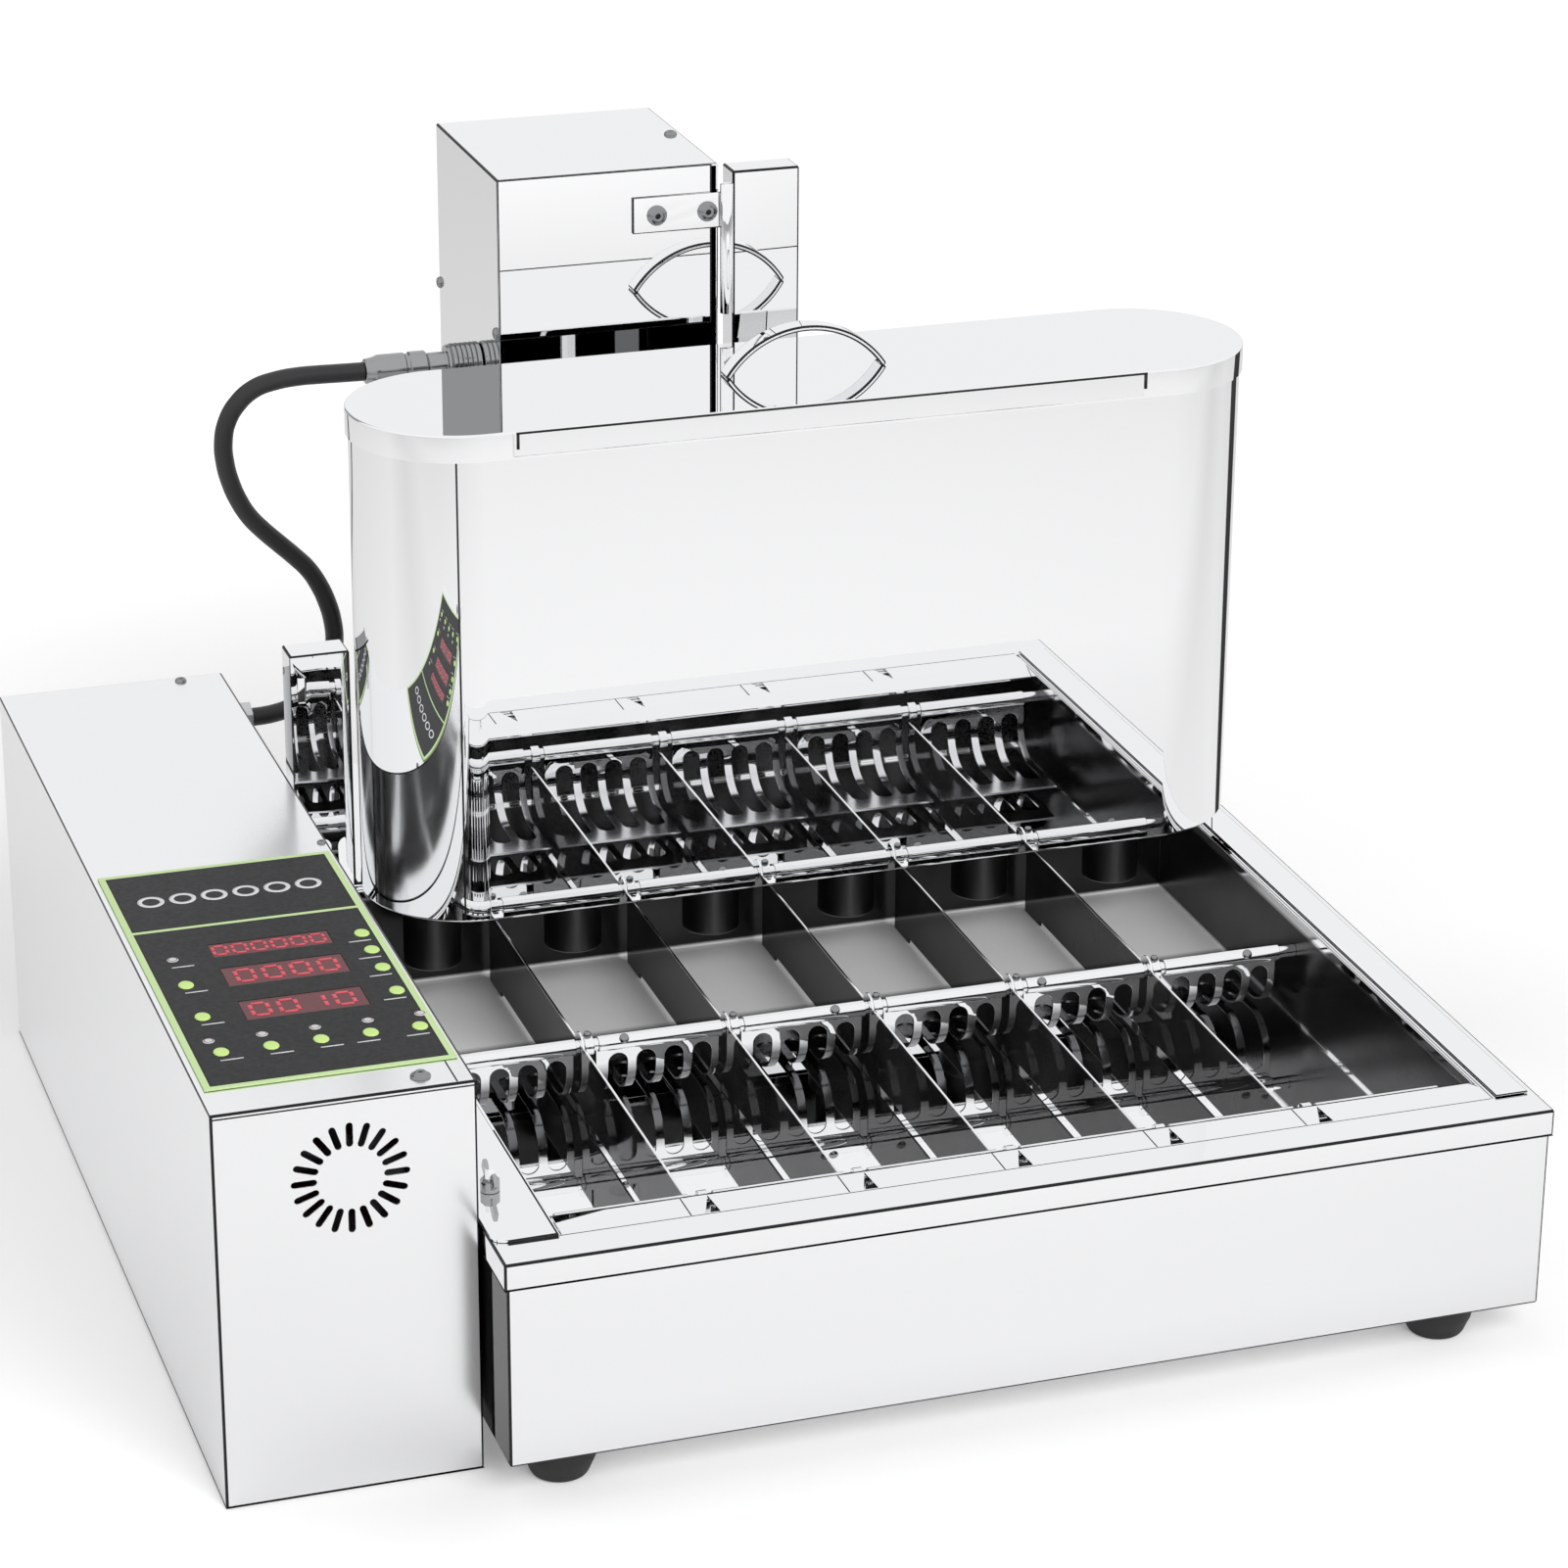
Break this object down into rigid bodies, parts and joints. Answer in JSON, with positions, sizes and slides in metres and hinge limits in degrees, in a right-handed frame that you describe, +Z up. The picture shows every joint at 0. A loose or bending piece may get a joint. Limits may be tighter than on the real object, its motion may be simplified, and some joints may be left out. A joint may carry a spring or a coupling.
{
  "type": "donut making machine",
  "caption": "Countertop donut machine with an open oil tank, slotted turning shovels, a round-ended batter hopper, a dosing tower and a low control box joined by an air hose.",
  "frame": {"origin": "middle of the base: centre of the bounding box in X and Y, and the surface it stands on in Z", "axes": "+X to the right seen from the front, +Y to the back, +Z up"},
  "size_m": [0.84, 0.794, 0.64],
  "materials": {
    "polished_steel": "mirror polished stainless sheet",
    "satin_steel": "satin",
    "heater_steel": "dull dark",
    "black_rubber": "matte",
    "panel_plastic": "matte printed film",
    "board": "dark red display face",
    "key_plastic": "matte",
    "fan_plastic": "matte"
  },
  "bodies": {
    "frame": {"control_casing": "polished_steel", "fryer_body": "polished_steel", "fryer_deck": "polished_steel", "oil_tank": "polished_steel", "cover_left": "polished_steel", "cover_right": "polished_steel", "front_ledge": "polished_steel", "hopper_body": "polished_steel", "post_left": "polished_steel", "post_right": "polished_steel", "tower_casing": "polished_steel", "tower_panel": "polished_steel", "tie_bracket": "polished_steel", "lift_column": "polished_steel", "lane_divider_1": "polished_steel", "lane_divider_2": "polished_steel", "lane_divider_3": "polished_steel", "lane_divider_4": "polished_steel", "lane_divider_5": "polished_steel", "control_base": "satin_steel", "hose_fitting": "satin_steel", "hose_gland": "satin_steel", "heating_element": "heater_steel", "foot_front_left": "black_rubber", "foot_back_left": "black_rubber", "foot_front_right": "black_rubber", "foot_back_right": "black_rubber", "air_hose": "black_rubber", "control_panel": "panel_plastic", "display_board": "board", "fan_frame": "fan_plastic"},
    "rear_shovels": {"rear_shovel_shaft": "polished_steel", "rear_shovel_1": "polished_steel", "rear_shovel_2": "polished_steel", "rear_shovel_3": "polished_steel", "rear_shovel_4": "polished_steel", "rear_shovel_5": "polished_steel", "rear_shovel_6": "polished_steel"},
    "front_shovels": {"front_shovel_shaft": "polished_steel", "front_shovel_1": "polished_steel", "front_shovel_2": "polished_steel", "front_shovel_3": "polished_steel", "front_shovel_4": "polished_steel", "front_shovel_5": "polished_steel", "front_shovel_6": "polished_steel"},
    "hopper_lid_body": {"hopper_lid": "polished_steel", "lid_handle": "polished_steel"},
    "fan": {"fan_rotor": "fan_plastic"},
    "nut": {"wing_nut": "satin_steel"},
    "key_1_body": {"key_1": "key_plastic"},
    "key_2_body": {"key_2": "key_plastic"},
    "key_3_body": {"key_3": "key_plastic"},
    "key_4_body": {"key_4": "key_plastic"},
    "key_5_body": {"key_5": "key_plastic"},
    "key_6_body": {"key_6": "key_plastic"},
    "key_7_body": {"key_7": "key_plastic"},
    "key_8_body": {"key_8": "key_plastic"},
    "key_9_body": {"key_9": "key_plastic"},
    "key_10_body": {"key_10": "key_plastic"},
    "key_11_body": {"key_11": "key_plastic"}
  },
  "joints": [
    {"name": "rear_shovels_turn", "type": "hinge", "parent": "frame", "child": "rear_shovels", "pos_m": [0, -0.07, 0.138], "axis": [1, 0, 0], "range_deg": [0, 130]},
    {"name": "front_shovels_turn", "type": "hinge", "parent": "frame", "child": "front_shovels", "pos_m": [0, -0.32, 0.146], "axis": [1, 0, 0], "range_deg": [0, 130]},
    {"name": "lid_lift", "type": "slide", "parent": "frame", "child": "hopper_lid_body", "axis": [0, 0, 1], "range_m": [0, 0.08]},
    {"name": "fan_spin", "type": "hinge", "parent": "frame", "child": "fan", "pos_m": [-0.338, -0.33, 0.208], "axis": [0, 1, 0], "continuous": true},
    {"name": "wing_nut_turn", "type": "hinge", "parent": "frame", "child": "nut", "pos_m": [-0.2435, -0.304, 0.168], "axis": [0, 0, 1], "continuous": true},
    {"name": "key_1_press", "type": "slide", "parent": "frame", "child": "key_1_body", "axis": [0, 0, -1], "range_m": [0, 0.0005], "stiffness_N_per_m": 300, "springref_m": -0.0005},
    {"name": "key_2_press", "type": "slide", "parent": "frame", "child": "key_2_body", "axis": [0, 0, -1], "range_m": [0, 0.0005], "stiffness_N_per_m": 300, "springref_m": -0.0005},
    {"name": "key_3_press", "type": "slide", "parent": "frame", "child": "key_3_body", "axis": [0, 0, -1], "range_m": [0, 0.0005], "stiffness_N_per_m": 300, "springref_m": -0.0005},
    {"name": "key_4_press", "type": "slide", "parent": "frame", "child": "key_4_body", "axis": [0, 0, -1], "range_m": [0, 0.0005], "stiffness_N_per_m": 300, "springref_m": -0.0005},
    {"name": "key_5_press", "type": "slide", "parent": "frame", "child": "key_5_body", "axis": [0, 0, -1], "range_m": [0, 0.0005], "stiffness_N_per_m": 300, "springref_m": -0.0005},
    {"name": "key_6_press", "type": "slide", "parent": "frame", "child": "key_6_body", "axis": [0, 0, -1], "range_m": [0, 0.0005], "stiffness_N_per_m": 300, "springref_m": -0.0005},
    {"name": "key_7_press", "type": "slide", "parent": "frame", "child": "key_7_body", "axis": [0, 0, -1], "range_m": [0, 0.0005], "stiffness_N_per_m": 300, "springref_m": -0.0005},
    {"name": "key_8_press", "type": "slide", "parent": "frame", "child": "key_8_body", "axis": [0, 0, -1], "range_m": [0, 0.0005], "stiffness_N_per_m": 300, "springref_m": -0.0005},
    {"name": "key_9_press", "type": "slide", "parent": "frame", "child": "key_9_body", "axis": [0, 0, -1], "range_m": [0, 0.0005], "stiffness_N_per_m": 300, "springref_m": -0.0005},
    {"name": "key_10_press", "type": "slide", "parent": "frame", "child": "key_10_body", "axis": [0, 0, -1], "range_m": [0, 0.0005], "stiffness_N_per_m": 300, "springref_m": -0.0005},
    {"name": "key_11_press", "type": "slide", "parent": "frame", "child": "key_11_body", "axis": [0, 0, -1], "range_m": [0, 0.0005], "stiffness_N_per_m": 300, "springref_m": -0.0005}
  ],
  "couplings": [
    {"joint": "front_shovels_turn", "follows": "rear_shovels_turn", "ratio": 1}
  ]
}
